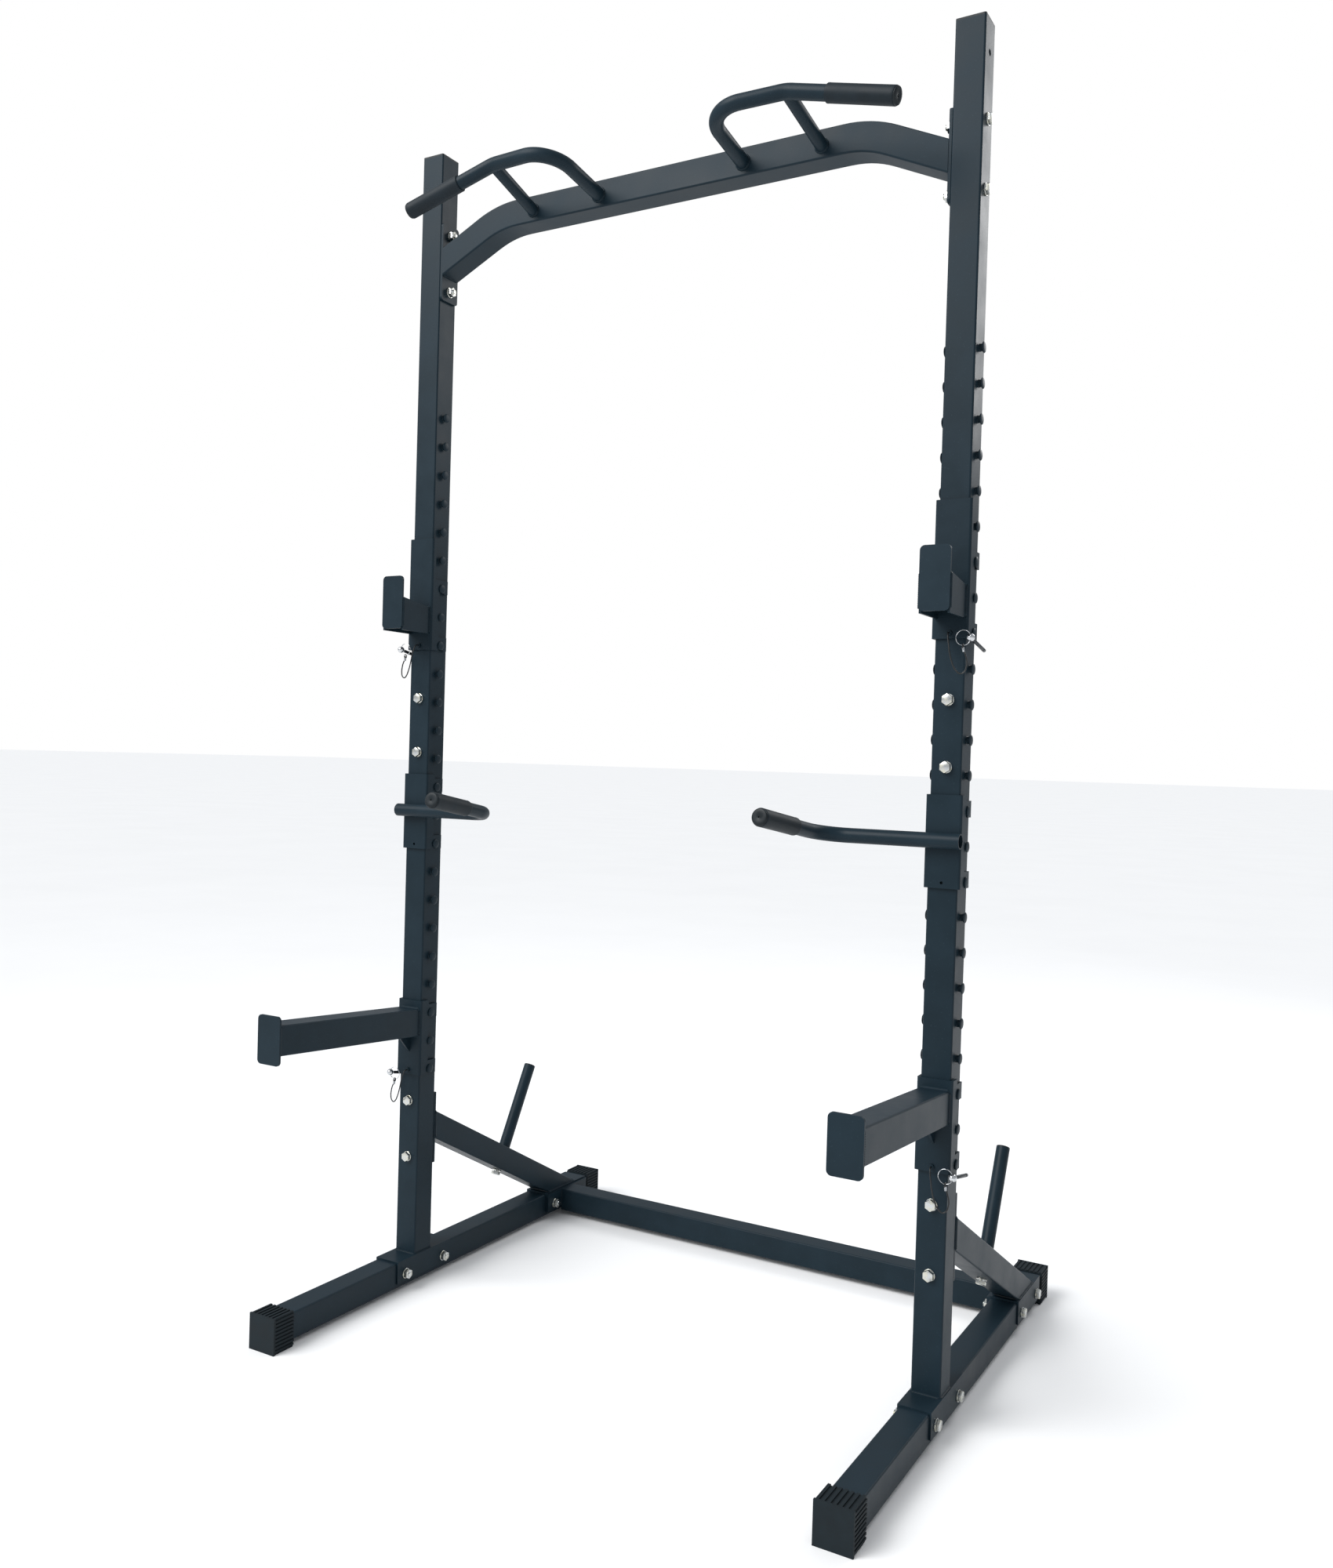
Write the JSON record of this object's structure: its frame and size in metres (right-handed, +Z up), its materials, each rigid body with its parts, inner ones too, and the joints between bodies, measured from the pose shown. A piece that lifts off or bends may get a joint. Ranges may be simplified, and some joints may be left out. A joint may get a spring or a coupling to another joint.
{
  "type": "power cage half rack",
  "caption": "Free-standing strength-training rack with two stud-faced uprights, pull-up bar with angled grips, J-hooks, dip handles, spotter arms and plate storage pegs.",
  "frame": {"origin": "on the floor, under the centre of the outline", "axes": "+Z up, +Y to the rear (from the spotter arms towards the cross tube), +X to the right as seen from the front"},
  "size_m": [1.183, 1.052, 2.267],
  "materials": {
    "powder_coat": "satin",
    "rubber": "matte",
    "zinc": "bright zinc plate",
    "chrome": "polished",
    "lanyard": "satin"
  },
  "bodies": {
    "frame": {"base_tube_left": "powder_coat", "base_tube_right": "powder_coat", "foot_cap_front_left": "rubber", "foot_cap_front_right": "rubber", "foot_cap_rear_left": "rubber", "foot_cap_rear_right": "rubber", "lower_upright_left": "powder_coat", "lower_upright_right": "powder_coat", "upper_upright_left": "powder_coat", "upper_upright_right": "powder_coat", "splice_sleeve_left": "powder_coat", "splice_sleeve_right": "powder_coat", "top_cap_left": "rubber", "top_cap_right": "rubber", "studs_left": "powder_coat", "studs_right": "powder_coat", "brace_left": "powder_coat", "brace_right": "powder_coat", "rear_cross_tube": "powder_coat", "plate_peg_left": "powder_coat", "plate_peg_right": "powder_coat", "peg_plug_left": "rubber", "peg_plug_right": "rubber", "pull_up_bar": "powder_coat", "grip_left": "powder_coat", "grip_right": "powder_coat", "grip_sleeve_left": "rubber", "grip_sleeve_right": "rubber", "grip_plug_left": "rubber", "grip_plug_right": "rubber", "saddle_bolts": "zinc", "upright_bolts": "zinc", "pull_up_bolts": "zinc", "peg_bolts": "zinc", "saddle_nuts": "zinc", "upright_nuts": "zinc", "pull_up_nuts": "zinc", "washers": "zinc"},
    "j_hook_body_left": {"j_hook_left": "powder_coat", "j_hook_lanyard_left": "lanyard", "j_hook_ring_left": "chrome"},
    "dip_handle_body_left": {"dip_handle_left": "powder_coat", "dip_sleeve_left": "rubber", "dip_plug_left": "rubber"},
    "spotter_body_left": {"spotter_left": "powder_coat", "spotter_lanyard_left": "lanyard", "spotter_ring_left": "chrome"},
    "j_hook_pin_body_left": {"j_hook_pin_left": "chrome"},
    "spotter_pin_body_left": {"spotter_pin_left": "chrome"},
    "j_hook_body_right": {"j_hook_right": "powder_coat", "j_hook_lanyard_right": "lanyard", "j_hook_ring_right": "chrome"},
    "dip_handle_body_right": {"dip_handle_right": "powder_coat", "dip_sleeve_right": "rubber", "dip_plug_right": "rubber"},
    "spotter_body_right": {"spotter_right": "powder_coat", "spotter_lanyard_right": "lanyard", "spotter_ring_right": "chrome"},
    "j_hook_pin_body_right": {"j_hook_pin_right": "chrome"},
    "spotter_pin_body_right": {"spotter_pin_right": "chrome"}
  },
  "joints": [
    {"name": "j_hook_lift_left", "type": "slide", "parent": "frame", "child": "j_hook_body_left", "axis": [0, 0, 1], "range_m": [0, 0.02]},
    {"name": "dip_handle_lift_left", "type": "slide", "parent": "frame", "child": "dip_handle_body_left", "axis": [0, 0, 1], "range_m": [0, 0.02]},
    {"name": "spotter_lift_left", "type": "slide", "parent": "frame", "child": "spotter_body_left", "axis": [0, 0, 1], "range_m": [0, 0.02]},
    {"name": "j_hook_pin_swing_left", "type": "hinge", "parent": "j_hook_body_left", "child": "j_hook_pin_body_left", "pos_m": [-0.585, -0.162, 1.281], "axis": [0, 0, 1], "range_deg": [0, 60]},
    {"name": "spotter_pin_swing_left", "type": "hinge", "parent": "spotter_body_left", "child": "spotter_pin_body_left", "pos_m": [-0.585, -0.162, 0.426], "axis": [0, 0, 1], "range_deg": [0, 60]},
    {"name": "j_hook_lift_right", "type": "slide", "parent": "frame", "child": "j_hook_body_right", "axis": [0, 0, 1], "range_m": [0, 0.02]},
    {"name": "dip_handle_lift_right", "type": "slide", "parent": "frame", "child": "dip_handle_body_right", "axis": [0, 0, 1], "range_m": [0, 0.02]},
    {"name": "spotter_lift_right", "type": "slide", "parent": "frame", "child": "spotter_body_right", "axis": [0, 0, 1], "range_m": [0, 0.02]},
    {"name": "j_hook_pin_swing_right", "type": "hinge", "parent": "j_hook_body_right", "child": "j_hook_pin_body_right", "pos_m": [0.585, -0.162, 1.281], "axis": [0, 0, -1], "range_deg": [0, 60]},
    {"name": "spotter_pin_swing_right", "type": "hinge", "parent": "spotter_body_right", "child": "spotter_pin_body_right", "pos_m": [0.585, -0.162, 0.426], "axis": [0, 0, -1], "range_deg": [0, 60]}
  ]
}
